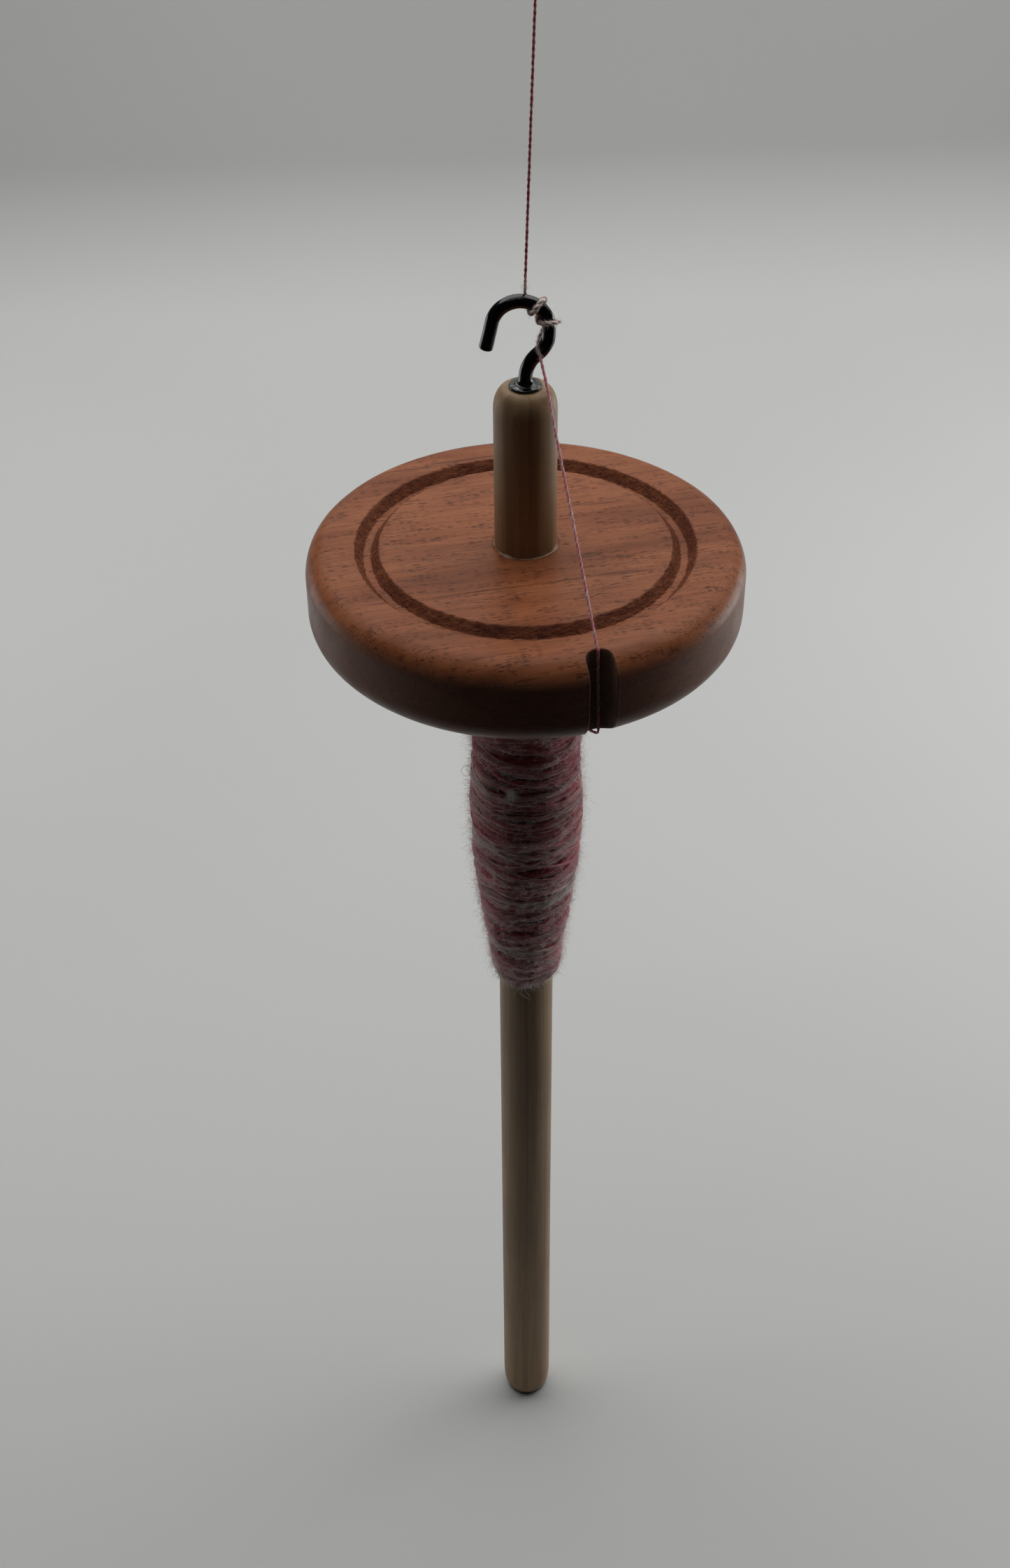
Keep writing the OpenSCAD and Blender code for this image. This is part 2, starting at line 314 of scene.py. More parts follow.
# ---------------------------------------------------------------- material helpers
class Nodes:
    """A material's node tree. An input takes a plain value or another node's output."""

    def __init__(self, name):
        self.material = bpy.data.materials.new(name)
        self.material.use_nodes = True
        self.tree = self.material.node_tree
        self.shader = self.tree.nodes["Principled BSDF"]

    def feed(self, node, values):
        for key, value in values.items():
            if isinstance(value, bpy.types.NodeSocket):
                self.tree.links.new(value, node.inputs[key])
            else:
                node.inputs[key].default_value = value

    def add(self, kind, values, **settings):
        node = self.tree.nodes.new("ShaderNode" + kind)
        for key, value in settings.items():
            setattr(node, key, value)
        self.feed(node, values)
        return node

    def set(self, **values):
        """Feeds the shader itself, and returns the finished material."""
        self.feed(self.shader, {key.replace("_", " "): value for key, value in values.items()})
        return self.material

    def math(self, operation, a, b=0.0):
        return self.add("Math", {0: a, 1: b}, operation=operation).outputs[0]

    def times(self, a, b):
        return self.math("MULTIPLY", a, b)

    def mapped(self, vector, scale=(1, 1, 1), turn=(0, 0, 0)):
        values = {"Vector": vector, "Scale": scale, "Rotation": turn}
        return self.add("Mapping", values).outputs[0]

    def noise(self, vector, scale, detail=3.0, rough=0.55, warp=0.0):
        values = {"Vector": vector, "Scale": scale, "Detail": detail, "Roughness": rough,
                  "Distortion": warp}
        return self.add("TexNoise", values).outputs[0]

    def grain(self, vector, stretch, *settings):
        """Noise that is as fine along X, Y and Z as stretch says."""
        return self.noise(self.mapped(vector, stretch), 1.0, *settings)

    def cells(self, vector):
        return self.add("TexVoronoi", {"Vector": vector, "Scale": 1.0}).outputs

    def spread(self, value, low, high, to_low=0.0, to_high=1.0, smooth=True):
        values = {"Value": value, "From Min": low, "From Max": high, "To Min": to_low,
                  "To Max": to_high}
        kind = "SMOOTHSTEP" if smooth else "LINEAR"
        return self.add("MapRange", values, interpolation_type=kind).outputs[0]

    def ramp(self, value, stops):
        node = self.add("ValToRGB", {"Fac": value})
        elements = node.color_ramp.elements
        while len(elements) < len(stops):
            elements.new(0.5)
        for element, (place, colour) in zip(elements, stops):
            element.position = place
            element.color = (*linear(colour), 1)
        return node.outputs["Color"]

    def mix(self, factor, base, colour):
        """Mixes a colour from 0 to 255 into a node's colour; 6 and 7 are the colour inputs."""
        values = {0: factor, 6: base, 7: (*linear(colour), 1)}
        return self.add("Mix", values, data_type="RGBA").outputs[2]

    def bump(self, height, distance, strength=1.0, below=None):
        values = {"Height": height, "Distance": distance, "Strength": strength}
        if below is not None:
            values["Normal"] = below
        return self.add("Bump", values).outputs[0]

    def attribute(self, name):
        """An attribute's three numbers."""
        node = self.add("Attribute", {}, attribute_type="GEOMETRY", attribute_name=name)
        return self.split(node.outputs["Vector"])

    def split(self, vector):
        return self.add("SeparateXYZ", {0: vector}).outputs

    def object_place(self):
        return self.add("TexCoord", {}).outputs["Object"]


def linear(colour):
    """Scene-linear values of an sRGB colour given from 0 to 255."""
    c = np.asarray(colour, float) / 255
    return tuple(np.where(c <= 0.04045, c / 12.92, ((c + 0.055) / 1.055) ** 2.4).tolist())


# ---------------------------------------------------------------- materials
def pores(n, place, cells, patches, widest):
    """Dark dashes in some of the long cells, where a broader noise opens them."""
    cell = n.cells(n.mapped(place, cells))
    width = n.spread(n.grain(place, patches, 2.0), 0.3, 0.7, 0.1, widest)
    shut = n.spread(n.split(cell["Color"])[0], 0.2, 1.0, 0.55, 0.0, False)
    width = n.math("SUBTRACT", width, shut)
    return n.spread(n.math("SUBTRACT", width, cell["Distance"]), -0.02, 0.06)


def whorl_wood():
    """Oiled, reddish, open-pored hardwood; the grain lies near +X, dipping a little."""
    n = Nodes("whorl_wood")
    place = n.mapped(n.object_place(), turn=(0.0, math.radians(3), math.radians(-12)))
    wall, notch = n.attribute("wear")[:2]
    # broad figure, grain lines, a few dark streaks, smudges, then pores as short dashes
    figure = n.grain(place, (14, 80, 80), 3.0, 0.5, 0.6)
    lines = n.grain(place, (50, 1300, 1300), 3.0, 0.6)
    streaks = n.grain(place, (22, 620, 620), 2.0, 0.5)
    smudges = n.noise(place, 95, 4.0, 0.6)
    base = n.ramp(figure, [(0.3, (124, 70, 43)), (0.46, (146, 87, 55)), (0.6, (155, 95, 62)),
                           (0.76, (133, 77, 49))])
    base = n.mix(n.spread(lines, 0.35, 0.7, 0.0, 0.4), base, (100, 52, 32))
    base = n.mix(n.spread(streaks, 0.62, 0.74, 0.0, 0.6), base, (74, 36, 24))
    base = n.mix(n.spread(smudges, 0.56, 0.74, 0.0, 0.3), base, (92, 60, 48))
    long_pore = pores(n, place, (350, 3800, 3800), (70, 300, 300), 0.52)
    short_pore = pores(n, place, (640, 4200, 4200), (90, 420, 420), 0.74)
    pore = n.math("MAXIMUM", long_pore, n.times(short_pore, 0.75))
    base = n.mix(n.times(pore, 0.85), base, (58, 26, 16))
    # the rim is greyer than the top: partly the handled wood's own colour, partly painted sheen
    rim = n.spread(n.split(n.object_place())[2], TOP_Z - 0.006, TOP_Z - 0.0015, 0.5, 0.0)
    base = n.mix(rim, base, (110, 90, 84))
    # scraped groove walls are darker, and the notch is filed rough
    scraped = n.spread(n.grain(place, (260, 900, 900), 3.0, 0.7), 0.35, 0.65, 0.2, 0.75)
    base = n.mix(n.times(wall, scraped), base, (86, 40, 29))
    base = n.mix(n.times(notch, 0.8), base, (122, 98, 84))
    worn = n.math("MAXIMUM", wall, notch)
    rough = n.spread(n.noise(place, 160), 0.3, 0.7, 0.29, 0.42)
    rough = n.math("ADD", rough, n.times(worn, 0.25))
    height = n.math("SUBTRACT", n.times(lines, 0.3), n.times(pore, 0.5))
    torn = n.grain(place, (900, 1900, 1900), 4.0, 0.7)
    normal = n.bump(n.times(torn, worn), 0.0005, 1.0, n.bump(height, 0.00006, 0.7))
    return n.set(Base_Color=base, Roughness=rough, Normal=normal, Specular_IOR_Level=0.12)


def shaft_wood():
    """Pale, close-grained dowel, satin, with fine lines along Z and a few darker flecks."""
    n = Nodes("shaft_wood")
    place = n.object_place()
    bands = n.grain(place, (330, 330, 6), 3.0, 0.55, 0.3)
    fine = n.grain(place, (2600, 2600, 45), 3.0, 0.65)
    base = n.ramp(bands, [(0.3, (134, 107, 79)), (0.5, (158, 130, 99)), (0.72, (146, 118, 88))])
    base = n.mix(n.spread(fine, 0.38, 0.72, 0.0, 0.4), base, (122, 98, 66))
    flecks = n.cells(n.mapped(place, (1500, 1500, 210)))
    fleck = n.math("LESS_THAN", flecks["Distance"], 0.14)
    base = n.mix(n.times(fleck, 0.4), base, (92, 68, 44))
    worn = n.grain(place, (60, 60, 25), 4.0)
    base = n.mix(n.spread(worn, 0.5, 0.8, 0.0, 0.3), base, (104, 84, 62))
    # painted shade: the tip's lowest edge is darkened where it nearly meets the floor
    low = float(shaft_low.z)
    tip_shade = n.spread(n.split(place)[2], low + 0.0012, low + 0.0022, 0.85, 0.0)
    base = n.mix(tip_shade, base, (44, 34, 27))
    return n.set(Base_Color=base, Roughness=n.spread(fine, 0.3, 0.7, 0.38, 0.52),
                 Normal=n.bump(fine, 0.00003, 0.6), Specular_IOR_Level=0.25)


def dried_glue():
    """Brown glue, glossy where it is thick."""
    n = Nodes("dried_glue")
    uneven = n.noise(n.object_place(), 900)
    return n.set(Base_Color=n.ramp(uneven, [(0.35, (112, 76, 52)), (0.65, (158, 122, 90))]),
                 Roughness=n.spread(uneven, 0.3, 0.7, 0.25, 0.5),
                 Normal=n.bump(uneven, 0.00008, 0.5))


def black_paint():
    """Gloss black paint with an uneven, lightly scuffed skin."""
    n = Nodes("black_paint")
    place = n.object_place()
    scuffs = n.noise(place, 1300, 4.0, 0.6)
    return n.set(Base_Color=n.ramp(scuffs, [(0.4, (7, 7, 8)), (0.75, (24, 23, 22))]),
                 Roughness=n.spread(scuffs, 0.4, 0.75, 0.09, 0.24),
                 Normal=n.bump(n.noise(place, 520, 2.0), 0.00012, 0.5), Specular_IOR_Level=0.6)


def wool(name, fibre_mm, twist_mm, depth, through, gloss):
    """Dyed wool. The attribute's dye runs from deep red (0) over rose to near white (1); the
    fibres lie along the strand, turning once round it every twist_mm. Light passes through
    them."""
    n = Nodes(name)
    along, around, dye = n.attribute("yarn")
    turn = n.times(n.math("ADD", around, n.times(along, 1000 / twist_mm)), 2 * math.pi)
    at = n.add("CombineXYZ", {0: n.times(along, 1000 / fibre_mm), 1: n.math("SINE", turn),
                              2: n.math("COSINE", turn)}).outputs[0]
    fibre = n.grain(at, (1, 2.6, 2.6), 4.0, 0.75)
    blot = n.grain(at, (0.35, 0.3, 0.3), 2.0)
    tone = n.math("ADD", dye, n.spread(fibre, 0.2, 0.8, -0.2, 0.2, False))
    tone = n.math("ADD", tone, n.spread(blot, 0.3, 0.7, -0.08, 0.08, False))
    colour = n.ramp(tone, [
        (0.0, (70, 16, 24)), (0.1, (186, 38, 56)), (0.22, (206, 82, 98)), (0.4, (218, 122, 132)),
        (0.58, (222, 150, 152)), (0.76, (228, 192, 186)), (1.0, (238, 226, 214)),
    ])
    return n.set(Base_Color=colour, Normal=n.bump(fibre, depth, 0.9), Roughness=0.6,
                 Specular_IOR_Level=gloss, Sheen_Weight=gloss, Sheen_Roughness=0.35,
                 Subsurface_Weight=through, Subsurface_Radius=(1.0, 0.75, 0.75),
                 Subsurface_Scale=0.0007)


def plain_floor():
    """Matt pale grey, very slightly cloudy."""
    n = Nodes("plain_floor")
    cloudy = n.noise(n.object_place(), 3.0, 2.0)
    return n.set(Base_Color=n.ramp(cloudy, [(0.3, (188, 189, 187)), (0.7, (192, 193, 191))]),
                 Roughness=0.9, Specular_IOR_Level=0.2)


# ---------------------------------------------------------------- wooden pieces
def build_shaft():
    """A dowel with a blunt, rounded tip, a rounded top and the bore that the screw fills."""
    top_flat, tip_flat = SHAFT_R_MM - TOP_IN_MM, SHAFT_R_MM - TIP_IN_MM
    top_start, tip_end = SHAFT_TOP_MM - TOP_DOWN_MM, SHAFT_TIP_MM + TIP_UP_MM
    bore_floor = SHAFT_TOP_MM - SCREW_MM - BORE_SPARE_MM
    straight = np.linspace(tip_end, top_start, 90)[1:-1]
    profile = np.concatenate([
        [[share * tip_flat, SHAFT_TIP_MM] for share in (0, 0.3, 0.7, 0.93)],
        arc((tip_flat, tip_end), TIP_IN_MM, TIP_UP_MM, -90, 0, 28),
        np.stack([np.full(len(straight), SHAFT_R_MM), straight], -1),
        arc((top_flat, top_start), TOP_IN_MM, TOP_DOWN_MM, 0, 90, 24),
        [[top_flat - 0.12, SHAFT_TOP_MM], [PILOT_R_MM + 0.1, SHAFT_TOP_MM],
         [PILOT_R_MM, SHAFT_TOP_MM - 0.1], [PILOT_R_MM, bore_floor + 1],
         [PILOT_R_MM, bore_floor], [0, bore_floor]],
    ])
    cols = 96
    verts = turned(profile[1:-1], cols)
    # sanded by hand, so not quite round
    radius = np.linalg.norm(verts[:, :2], axis=1, keepdims=True)
    lift = waves(verts * [1, 1, 0.12], 7.0, 3)[:, None] * 0.018
    lift = np.where(radius > PILOT_R_MM + 0.2, lift, 0)
    verts[:, :2] *= 1 + lift / np.maximum(radius, 1)
    verts = np.concatenate([verts, [[0, 0, SHAFT_TIP_MM], [0, 0, bore_floor]]])
    make_piece("shaft_dowel", placed(verts), capped_quads(len(profile) - 2, cols), shaft_wood(),
               ["shaft"])


def notch_half_angle(rho):
    """Half the angle that the notch takes from a circle of radius rho about the shaft."""
    r = NOTCH_W_MM / 2
    inner = NOTCH_R_MM - r
    # where the circle of radius rho meets the notch's round end, then its straight sides
    cosine = (rho**2 + NOTCH_R_MM**2 - r**2) / (2 * rho * NOTCH_R_MM)
    round_end = np.arccos(np.clip(cosine, -1, 1))
    straight = np.arcsin(np.clip(r / rho, -1, 1))
    past = rho * np.cos(straight) > NOTCH_R_MM
    return np.where(rho <= inner, 0.0, np.where(past, straight, round_end))


def notch_distance(rho, angle):
    """Distance from the notch's outline, in plan; the notch lies along angle 0."""
    x, y = rho * np.cos(angle), rho * np.sin(angle)
    end = np.hypot(x - NOTCH_R_MM, y) - NOTCH_W_MM / 2
    side = np.abs(y) - NOTCH_W_MM / 2
    return np.maximum(np.where(x > NOTCH_R_MM, side, end), 0)


def rounding(rho, start_r, radius):
    """How far an edge's rounding of a radius, which starts at start_r, has dropped at rho."""
    past = np.maximum(rho - start_r, 0)
    return radius - np.sqrt(np.maximum(radius**2 - past**2, 0))


def whorl_outline():
    """The turned outline from the bore's top, out over the rim and back to the bore's bottom,
    how many points lie on its top and along the notch, and the side's shares of the height."""
    r = NOTCH_W_MM / 2
    inner = NOTCH_R_MM - r
    top_r, base_r = WHORL_R_MM - TOP_ROUND_MM, WHORL_R_MM - BOTTOM_ROUND_MM
    near = np.array([0.6, 0.4, 0.27, 0.18, 0.11, 0.05])
    lip = 0.3
    half, foot = GROOVE_W_MM / 2, GROOVE_FLOOR_MM / 2
    top = np.concatenate([
        np.linspace(SHAFT_R_MM, GROOVE_R_MM - half - lip, 26),
        GROOVE_R_MM - half - lip * np.array([0.6, 0.3, 0.1]),
        GROOVE_R_MM - np.linspace(half, foot, 14),
        GROOVE_R_MM + np.linspace(-foot, foot, 7)[1:-1],
        GROOVE_R_MM + np.linspace(foot, half, 14),
        GROOVE_R_MM + half + lip * np.array([0.1, 0.3, 0.6, 1]),
        np.linspace(GROOVE_R_MM + half + 0.9, inner - 0.9, 7),
        inner - near,
    ])
    start = math.asin((NOTCH_R_MM - top_r) / TOP_ROUND_MM)
    notch = np.concatenate([
        NOTCH_R_MM - r * np.cos(np.linspace(0, math.pi / 2, 14)),
        top_r + TOP_ROUND_MM * np.sin(np.linspace(start, math.pi / 2, 14)[1:]),
    ])
    low = np.concatenate([
        (inner - near)[::-1],
        np.linspace(inner - 0.9, base_r - 1, 5),
        np.linspace(base_r - 2, SHAFT_R_MM, 24),
    ])
    side = np.array([0.015, 0.045, 0.1, 0.2, 0.35, 0.5, 0.65, 0.8, 0.9, 0.955, 0.985])

    def top_z(rho):
        off = np.abs(rho - GROOVE_R_MM)
        # sloping walls and a flat floor, with the corners eased by averaging
        down = sum(np.clip((half - off + ease) / (half - foot), 0, 1)
                   for ease in (-0.12, -0.04, 0.04, 0.12)) / 4
        edge = np.clip(1 - np.abs(off - half) / lip, 0, 1)
        return -rounding(rho, top_r, TOP_ROUND_MM) - GROOVE_DEPTH_MM * down - 0.04 * edge**2

    def bottom_z(rho):
        return -WHORL_T_MM + rounding(rho, base_r, BOTTOM_ROUND_MM)

    side_top, side_low = top_z(WHORL_R_MM), bottom_z(WHORL_R_MM)
    outline = np.concatenate([
        np.stack([top, top_z(top)], -1),
        np.stack([notch, top_z(notch)], -1),
        np.stack([np.full(len(side), WHORL_R_MM), side_top + (side_low - side_top) * side], -1),
        np.stack([notch[::-1], bottom_z(notch[::-1])], -1),
        np.stack([low, bottom_z(low)], -1),
        [[SHAFT_R_MM, -WHORL_T_MM * share] for share in BORE_SHARES],
    ])
    return outline, len(top), len(notch), side


def torn_groove(verts, rho, on_top):
    """Roughens the groove a little, and returns how far each point is scraped wall."""
    off = np.abs(rho - GROOVE_R_MM)
    half, foot = GROOVE_W_MM / 2, GROOVE_FLOOR_MM / 2
    groove = np.clip((half - off) / 0.35, 0, 1) * on_top
    ragged = off + 0.1 * waves(verts * [0.35, 1, 1], 0.7, 14)
    wall = np.clip((ragged - foot + 0.1) / 0.15, 0.15, 1)
    wall *= np.clip((half + 0.1 - ragged) / 0.15, 0, 1) * on_top
    torn = waves(verts, 1.1, 11) + 0.6 * waves(verts, 0.6, 12)
    verts[:, 2] += 0.06 * torn * groove
    return wall


def notch_walls(verts, index, top_rows, side_rows, low_rows, side):
    """Further points and quads of the notch's walls: each edge point on the top is joined by
    a vertical line to its mate below."""
    points, strips, grids = [], [], []
    for column in (0, -1):
        grid = np.zeros((len(top_rows), len(side) + 2), np.int64)
        grid[:, 0], grid[:, -1] = index[top_rows, column], index[low_rows, column]
        grid[-1, 1:-1] = index[side_rows, column]
        if grids:  # the two walls meet at the notch's inner end
            grid[0, 1:-1] = grids[0][0, 1:-1]
        for k in range(len(grids), len(top_rows) - 1):
            top, low = verts[grid[k, 0]], verts[grid[k, -1]]
            for m, share in enumerate(side):
                grid[k, m + 1] = index.size + len(points)
                flat = top if share < 0.5 else low
                points.append([flat[0], flat[1], top[2] + (low[2] - top[2]) * share])
        strip = np.stack([grid[:-1, :-1], grid[1:, :-1], grid[1:, 1:], grid[:-1, 1:]], -1)
        strips.append(strip.reshape(-1, 4)[:, ::-1] if column == 0 else strip.reshape(-1, 4))
        grids.append(grid)
    return np.array(points), np.concatenate(strips)


def build_whorl():
    """A polar grid whose columns part to leave the notch, then the notch's own walls."""
    outline, n_top, n_notch, side = whorl_outline()
    rows = len(outline)
    last = n_top + 2 * n_notch + len(side) - 1
    near = np.array([0, 0.00012, 0.0003, 0.00055, 0.0009, 0.0014, 0.0021])
    share = np.concatenate([near, np.linspace(0.0032, 1 - 0.0032, 372), 1 - near[::-1]])
    cols = len(share)
    rho = outline[:, 0]
    half = notch_half_angle(rho)[:, None]
    angle = half + share * (2 * math.pi - 2 * half)
    # the notch's edges are eased over: points near its outline sink along the surface's normal
    slope = np.gradient(outline, axis=0)
    normal = unit(np.stack([-slope[:, 1], slope[:, 0]], -1))
    normal[:n_top] = [0, 1]
    distance = notch_distance(rho[:, None], angle)
    close_by = np.clip(NOTCH_EASE_MM - distance, 0, NOTCH_EASE_MM)
    close_by[-len(BORE_SHARES):] = 0
    sink = NOTCH_EASE_MM - np.sqrt(np.maximum(NOTCH_EASE_MM**2 - close_by**2, 0))
    rr = rho[:, None] - sink * normal[:, :1]
    zz = outline[:, 1:] - sink * normal[:, 1:]
    turn = angle + NOTCH_TURN - math.pi / 2
    verts = np.stack([rr * np.cos(turn), rr * np.sin(turn), zz], -1).reshape(-1, 3)
    wall = torn_groove(verts, np.repeat(rho, cols), np.repeat(np.arange(rows) < n_top, cols))
    # turned by hand, so the rim isn't quite round
    lump = waves(verts, 24, 13)[:, None] * 0.05
    reach = np.clip((np.linalg.norm(verts[:, :2], axis=1, keepdims=True) - 38) / 6, 0, 1)
    verts[:, :2] *= 1 + reach * lump / WHORL_R_MM
    by_notch = np.clip(1 - distance.reshape(-1) / 0.5, 0, 1)
    by_notch *= np.repeat(np.arange(rows) >= n_top - 6, cols)
    wear = np.stack([wall, 0.45 * by_notch, np.zeros(len(verts))], -1)

    # the first and last columns are one line inside the notch's reach, and part along the cut
    index = np.arange(rows * cols).reshape(rows, cols)
    closed = np.ones(rows, bool)
    closed[n_top + 1:last] = False
    index[closed, -1] = index[closed, 0]
    after = np.roll(index, -1, axis=0)
    quads = np.stack([index[:, :-1], after[:, :-1], after[:, 1:], index[:, 1:]], -1)
    top_rows, low_rows = n_top + np.arange(n_notch), last - np.arange(n_notch)
    side_rows = n_top + n_notch + np.arange(len(side))
    walls, wall_quads = notch_walls(verts, index, top_rows, side_rows, low_rows, side)
    # faint ridges that the file left in the notch
    centre = NOTCH_R_MM * np.array([math.sin(NOTCH_TURN), -math.cos(NOTCH_TURN)])
    ridge = waves(walls * [1, 1, 0.08], 0.9, 21)[:, None] * 0.03
    walls[:, :2] += unit(walls[:, :2] - centre) * ridge
    verts = np.concatenate([verts, walls])
    wear = np.concatenate([wear, np.tile([0, 1.0, 0], (len(walls), 1))])
    make_piece("whorl_disc", placed(verts), np.concatenate([quads.reshape(-1, 4), wall_quads]),
               whorl_wood(), ["whorl"], {"wear": wear})


def build_glue():
    """A bead round the shaft's foot, wider in some places than in others."""
    skin_r = SHAFT_R_MM - 0.1
    steps = [(0, -0.05), (0.72, -0.03), (0.6, 0.05), (0.36, 0.17), (0.2, 0.34), (0.12, 0.52),
             (0, 0.55)]
    verts, quads = turned_ring(np.array(steps) + [skin_r, 0], 144)
    angle = np.arctan2(verts[:, 1], verts[:, 0])
    ring = np.stack([np.cos(angle), np.sin(angle)], -1) * 6
    size = 0.6 + 0.28 * waves(ring, 3.5, 31)
    radius = np.linalg.norm(verts[:, :2], axis=1)
    verts[:, :2] *= ((skin_r + (radius - skin_r) * size) / radius)[:, None]
    verts[:, 2] *= np.where(verts[:, 2] > 0, size, 1)
    make_piece("glue_fillet", placed(verts), quads, dried_glue(), ["glue_bead"])


# ---------------------------------------------------------------- hook
def loop_point(along):
    """Point on the loop's centre line, which is drawn out downwards on the shank's side."""
    stretch = LOOP_STRETCH_MM * min(1, max(0, -along / STRETCH_OVER))
    return np.array([LOOP_X_MM + LOOP_R_MM * math.cos(along), 0,
                     LOOP_Z_MM + LOOP_R_MM * math.sin(along) - stretch])


def hook_line():
    """The wire's centre line from the screw's point to the open end, in the XZ plane."""
    exit_x, _, exit_z = loop_point(LOOP_EXIT)
    bend_r = exit_x / (1 - math.cos(LOOP_EXIT))
    bend = (exit_x + bend_r * math.cos(LOOP_EXIT), exit_z + bend_r * math.sin(LOOP_EXIT))
    shank = np.arange(SHAFT_TOP_MM - SCREW_MM, bend[1], 0.1)
    shank = np.stack([0 * shank, 0 * shank, shank], -1)
    turn = np.linspace(math.pi, math.pi + LOOP_EXIT, 20)[1:-1]
    curve = np.stack([bend[0] + bend_r * np.cos(turn), 0 * turn,
                      bend[1] + bend_r * np.sin(turn)], -1)
    loop = np.array([loop_point(a) for a in np.linspace(LOOP_EXIT, LOOP_END, 84)])
    way = np.array([-math.sin(LOOP_END), 0, math.cos(LOOP_END)])
    limb = np.concatenate([np.linspace(0.3, LIMB_MM - 0.5, 14),
                           LIMB_MM - np.array([0.38, 0.26, 0.16, 0.08, 0.02, 0])])
    return np.concatenate([shank, curve, loop, loop[-1] + way * limb[:, None]])


def build_hook():
    """The wire, with its screw in the wood, the paint's fillet at the collar and a blunt end."""
    line = hook_line()
    n, sides = len(line), 32
    u = np.tile([0.0, 1.0, 0.0], (n, 1))
    v = np.cross(tangents(line), u)
    depth = (SHAFT_TOP_MM - line[:, 2])[:, None]
    in_wood = depth > 0.05
    # thread: a ridge that climbs one pitch a turn; it fades out towards the gimlet point
    phase = (depth / THREAD_PITCH_MM + np.arange(sides) / sides) % 1
    ridge = np.clip(1 - np.abs(phase - 0.5) / 0.22, 0, 1)
    left = np.clip((SCREW_MM - depth) / 2.6, 0.04, 1)
    screw = (PILOT_R_MM + (THREAD_R_MM - PILOT_R_MM) * ridge) * left
    neck = np.clip(depth / 0.6, 0, 1)
    radius = np.where(in_wood, WIRE_R_MM * (1 - neck) + screw * neck, WIRE_R_MM)
    # paint gathers where the shank leaves the collar, and rounds the cut end
    above = -depth - COLLAR_H_MM
    gather = np.exp(-np.maximum(above, 0) / 0.28) * 0.3
    radius = radius + np.where(in_wood | (above <= -0.4), 0, gather)
    cut_end = np.array([0.995, 0.975, 0.93, 0.85, 0.74, 0.66])
    radius[-len(cut_end):] *= cut_end[:, None]
    verts = tube_points(line, radius, u, v, sides)
    middle = np.concatenate([np.repeat(line, sides, axis=0), line[:1] - 1, line[-1:] - 1])
    verts = verts + waves(verts, 2.4, 41)[:, None] * 0.012 * unit(verts - middle)
    make_piece("hook_wire", placed(verts), capped_quads(n, sides), PAINT, ["hook"])


def build_collar():
    """A flat ring with a rounded edge and a small raised neck, brushed over with paint."""
    r, h, z = COLLAR_R_MM, COLLAR_H_MM, SHAFT_TOP_MM
    bore = WIRE_R_MM - 0.05
    outline = np.concatenate([
        [[bore, z + 0.02], [r - 0.5, z + 0.01], [r - 0.05, z + 0.01]],
        arc((r - 0.22, z + 0.3), 0.22, 0.3, -60, 78, 9),
        [[r - 0.45, z + 0.64], [r - 0.9, z + 0.68], [bore + 0.75, z + 0.72]],
        arc((bore + 0.75, z + h - 0.02), 0.62, 0.3, -90, -175, 6),
        [[bore, z + h - 0.1]],
    ])
    verts, quads = turned_ring(outline, 96)
    verts[:, 2] += np.where(verts[:, 2] > z + 0.3, 0.04 * waves(verts, 1.6, 45), 0)
    make_piece("collar_disc", placed(verts), quads, PAINT, ["hook_collar"])


# ---------------------------------------------------------------- yarn
def along_waves(at, *pairs):
    """Sum of smooth noises along a strand, from (size, seed, strength) ones."""
    return sum(strength * waves(at[:, None], size, seed) for size, seed, strength in pairs)


def plied(path, at, dyes, seed, thick):
    """Two plies laid round a path, as parts for join_parts."""
    side = carried_sides(path)
    other = np.cross(tangents(path), side)
    parts = []
    for k in range(2):
        turn = 2 * math.pi * at / LAY_MM + math.pi * k
        out = np.cos(turn)[:, None] * side + np.sin(turn)[:, None] * other
        swell = 1 + along_waves(at, (3.0, seed + k, 0.07), (1.1, seed + 2 + k, 0.04))
        dye = dyes[k] + along_waves(at, (11.0, seed + 4 + k, 0.07), (2.5, seed + 6 + k, 0.04))
        centre = path + 0.105 * thick[:, None] * out
        parts.append(tube(centre, 0.22 * (thick * swell), 8, side=out, dye=dye, at=at + 700 * k))
    return parts


def yarn_fuzz(path, count, seed, dye, reach):
    """Loose fibres along a plied yarn."""
    fuzz_rng = np.random.default_rng(seed)
    pick = fuzz_rng.integers(1, len(path) - 1, count)
    along = unit(path[pick + 1] - path[pick - 1])
    out = unit(np.cross(along, unit(fuzz_rng.normal(size=(count, 3)))))
    length = fuzz_rng.uniform(0.5, 1.7, count) * reach
    width = 0.011 * fuzz_rng.uniform(0.7, 1.4, count)
    return fibres(path[pick] + out * 0.22, out, along, length, width, 0.9, fuzz_rng,
                  dye + fuzz_rng.normal(size=count) * 0.1)


def wool_piece(name, parts, material, replaces=(), body="spindle"):
    """One piece of tubes and fibres. The spindle's are drawn about the whorl, and the yarn
    line's in the row frame."""
    verts, quads, values = join_parts(parts)
    verts = placed(verts) if body == "spindle" else verts * MM
    return make_piece(name, verts, quads, material, replaces, {"yarn": values}, body)


def plied_piece(name, path_mm, replaces, dyes, seed, fuzz, reach, body="spindle", step=0.2,
                thick=np.ones_like):
    """A two-ply yarn along a route, with its loose fibres; also the route's points."""
    path, at = resample(path_mm, step)
    parts = plied(path, at, dyes, seed, thick(at / at[-1]))
    parts.append(yarn_fuzz(path, fuzz, seed + 9, max(dyes) + 0.15, reach))
    return wool_piece(name, parts, PLIED, replaces, body), path


